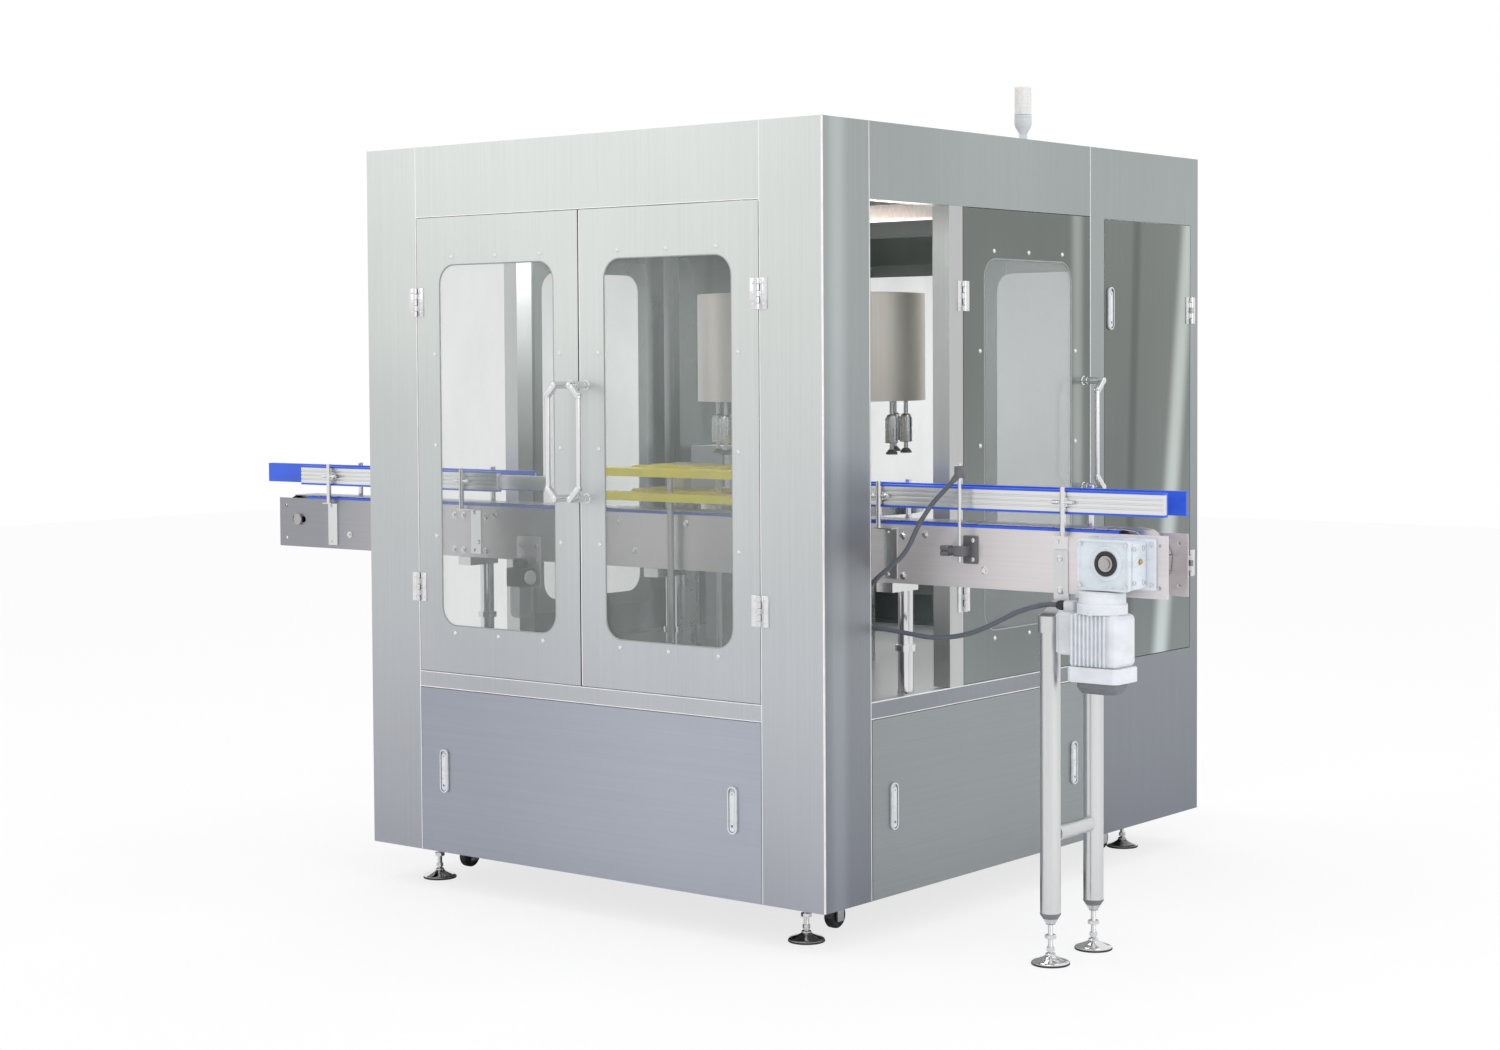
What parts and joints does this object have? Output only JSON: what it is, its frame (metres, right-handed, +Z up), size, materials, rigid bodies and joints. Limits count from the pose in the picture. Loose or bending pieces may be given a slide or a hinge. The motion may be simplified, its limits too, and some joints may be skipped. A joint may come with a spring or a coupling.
{
  "type": "hot melt labelling machine",
  "caption": "Guarded bottle labelling machine: steel cabinet with window doors round a bottle carousel, over a straight slat-chain conveyor with guide rails.",
  "frame": {"origin": "on the floor, in the middle of the whole footprint, rails and handles included", "axes": "+X along the conveyor towards its drive, -Y towards the double doors, +Z up"},
  "size_m": [3.28, 1.946, 2.2136],
  "materials": {
    "body_steel": "brushed stainless sheet",
    "frame_steel": "satin stainless",
    "bright_steel": "polished stainless",
    "pane": "clear",
    "latch_white": "gloss moulded",
    "foot_metal": "polished stainless",
    "castor_rubber": "moulded polyurethane",
    "chain_steel": "worn slats",
    "blue_plastic": "machined",
    "rail_alloy": "anodised",
    "gear_alloy": "cast, silver paint",
    "box_plastic": "moulded",
    "sensor_black": "moulded",
    "cable": "sheath",
    "turret_alloy": "turned",
    "star_yellow": "machined",
    "drum_steel": "ground",
    "label_paper": "wound film",
    "lamp_white": "opal"
  },
  "bodies": {
    "cabinet": {"base_frame": "frame_steel", "cabinet_frame": "frame_steel", "corner_posts": "body_steel", "header_panels": "body_steel", "roof_panel": "frame_steel", "sill_ledges": "body_steel", "fixed_panels": "body_steel", "fixed_windows": "pane", "hinge_leaves": "bright_steel", "leg_feet": "foot_metal", "conveyor_side_plates": "frame_steel", "conveyor_chain": "chain_steel", "wear_strips": "blue_plastic", "guide_rails": "rail_alloy", "rail_brackets": "bright_steel", "support_columns": "frame_steel", "leg_stand": "frame_steel", "drive_gearbox": "gear_alloy", "drive_motor": "gear_alloy", "terminal_box": "box_plastic", "sensor_stand": "sensor_black", "sensor_cable": "cable", "motor_cable": "cable", "carousel_column": "turret_alloy", "head_cover": "body_steel", "guide_plates": "star_yellow", "label_unit": "turret_alloy", "air_regulator": "sensor_black", "inside_lamp": "lamp_white", "signal_tower": "lamp_white"},
    "front_left_door": {"front_left_door": "body_steel", "front_left_window": "pane", "front_left_fittings": "bright_steel"},
    "front_right_door": {"front_right_door": "body_steel", "front_right_window": "pane", "front_right_fittings": "bright_steel"},
    "right_door": {"right_door": "body_steel", "right_window": "pane", "right_fittings": "bright_steel"},
    "narrow_door": {"narrow_door": "body_steel"},
    "narrow_latch": {"narrow_latch": "latch_white"},
    "front_lower_panel": {"front_lower_panel": "body_steel"},
    "front_latches": {"front_latches": "latch_white"},
    "right_lower_panel": {"right_lower_panel": "body_steel"},
    "right_latches": {"right_latches": "latch_white"},
    "foot_front_left": {"foot_front_left": "foot_metal"},
    "foot_front_right": {"foot_front_right": "foot_metal"},
    "foot_back_left": {"foot_back_left": "foot_metal"},
    "foot_back_right": {"foot_back_right": "foot_metal"},
    "front_castor_wheels": {"front_castor_wheels": "castor_rubber"},
    "rear_castor_wheels": {"rear_castor_wheels": "castor_rubber"},
    "drive_sprocket": {"drive_sprocket": "drum_steel"},
    "idler_sprocket": {"idler_sprocket": "drum_steel"},
    "turret": {"turret": "turret_alloy"},
    "bottle_pressers": {"bottle_pressers": "frame_steel"},
    "infeed_star": {"infeed_star": "star_yellow"},
    "outfeed_star": {"outfeed_star": "star_yellow"},
    "vacuum_drum": {"vacuum_drum": "drum_steel"},
    "glue_roller": {"glue_roller": "drum_steel"},
    "label_reel": {"label_reel": "label_paper"}
  },
  "joints": [
    {"name": "front_left_door_hinge", "type": "hinge", "parent": "cabinet", "child": "front_left_door", "pos_m": [-0.528, -0.907, 0.608], "axis": [0, 0, -1], "range_deg": [0, 110]},
    {"name": "front_right_door_hinge", "type": "hinge", "parent": "cabinet", "child": "front_right_door", "pos_m": [0.68, -0.907, 0.608], "axis": [0, 0, 1], "range_deg": [0, 110]},
    {"name": "right_door_hinge", "type": "hinge", "parent": "cabinet", "child": "right_door", "pos_m": [0.882, -0.29, 0.608], "axis": [0, 0, -1], "range_deg": [0, 90]},
    {"name": "narrow_door_hinge", "type": "hinge", "parent": "cabinet", "child": "narrow_door", "pos_m": [0.882, 0.923, 0.608], "axis": [0, 0, 1], "range_deg": [0, 110]},
    {"name": "narrow_latch_pivot", "type": "hinge", "parent": "narrow_door", "child": "narrow_latch", "pos_m": [0.8793, 0.458, 1.65], "axis": [0, -1, 0], "range_deg": [0, 60]},
    {"name": "front_panel_lift_off", "type": "slide", "parent": "cabinet", "child": "front_lower_panel", "axis": [0, -1, 0], "range_m": [0, 0.3]},
    {"name": "front_latch_pivot", "type": "hinge", "parent": "front_lower_panel", "child": "front_latches", "pos_m": [0.076, -0.9043, 0.3785], "axis": [-1, 0, 0], "range_deg": [0, 60]},
    {"name": "right_panel_lift_off", "type": "slide", "parent": "cabinet", "child": "right_lower_panel", "axis": [1, 0, 0], "range_m": [0, 0.3]},
    {"name": "right_latch_pivot", "type": "hinge", "parent": "right_lower_panel", "child": "right_latches", "pos_m": [0.8793, -0.176, 0.3785], "axis": [0, -1, 0], "range_deg": [0, 60]},
    {"name": "foot_front_left_thread", "type": "slide", "parent": "cabinet", "child": "foot_front_left", "axis": [0, 0, 1], "range_m": [-0.03, 0]},
    {"name": "foot_front_right_thread", "type": "slide", "parent": "cabinet", "child": "foot_front_right", "axis": [0, 0, 1], "range_m": [-0.03, 0]},
    {"name": "foot_back_left_thread", "type": "slide", "parent": "cabinet", "child": "foot_back_left", "axis": [0, 0, 1], "range_m": [-0.03, 0]},
    {"name": "foot_back_right_thread", "type": "slide", "parent": "cabinet", "child": "foot_back_right", "axis": [0, 0, 1], "range_m": [-0.03, 0]},
    {"name": "front_castor_axle", "type": "hinge", "parent": "cabinet", "child": "front_castor_wheels", "pos_m": [0.076, -0.666, 0.044], "axis": [1, 0, 0], "continuous": true},
    {"name": "rear_castor_axle", "type": "hinge", "parent": "cabinet", "child": "rear_castor_wheels", "pos_m": [0.076, 0.644, 0.044], "axis": [1, 0, 0], "continuous": true},
    {"name": "drive_shaft_turn", "type": "hinge", "parent": "cabinet", "child": "drive_sprocket", "pos_m": [1.522, -0.522, 0.98], "axis": [0, 1, 0], "continuous": true},
    {"name": "idler_shaft_turn", "type": "hinge", "parent": "cabinet", "child": "idler_sprocket", "pos_m": [-1.402, -0.522, 0.98], "axis": [0, 1, 0], "continuous": true},
    {"name": "turret_turn", "type": "hinge", "parent": "cabinet", "child": "turret", "pos_m": [0.176, -0.0242, 1.056], "axis": [0, 0, 1], "continuous": true},
    {"name": "presser_lift", "type": "slide", "parent": "turret", "child": "bottle_pressers", "axis": [0, 0, 1], "range_m": [0, 0.04]},
    {"name": "infeed_star_turn", "type": "hinge", "parent": "cabinet", "child": "infeed_star", "pos_m": [-0.004, -0.387, 1.082], "axis": [0, 0, 1], "continuous": true},
    {"name": "outfeed_star_turn", "type": "hinge", "parent": "cabinet", "child": "outfeed_star", "pos_m": [0.356, -0.387, 1.082], "axis": [0, 0, 1], "continuous": true},
    {"name": "vacuum_drum_turn", "type": "hinge", "parent": "cabinet", "child": "vacuum_drum", "pos_m": [-0.18253, 0.1828, 1.075], "axis": [0, 0, 1], "continuous": true},
    {"name": "glue_roller_turn", "type": "hinge", "parent": "cabinet", "child": "glue_roller", "pos_m": [-0.21136, 0.34628, 1.08], "axis": [0, 0, 1], "continuous": true},
    {"name": "label_reel_turn", "type": "hinge", "parent": "cabinet", "child": "label_reel", "pos_m": [-0.444, 0.684, 1.088], "axis": [0, 0, 1], "continuous": true}
  ],
  "couplings": [
    {"joint": "idler_shaft_turn", "follows": "drive_shaft_turn", "ratio": 1},
    {"joint": "infeed_star_turn", "follows": "turret_turn", "ratio": -2},
    {"joint": "outfeed_star_turn", "follows": "turret_turn", "ratio": -2},
    {"joint": "vacuum_drum_turn", "follows": "turret_turn", "ratio": -2.75},
    {"joint": "glue_roller_turn", "follows": "turret_turn", "ratio": 5.5}
  ]
}
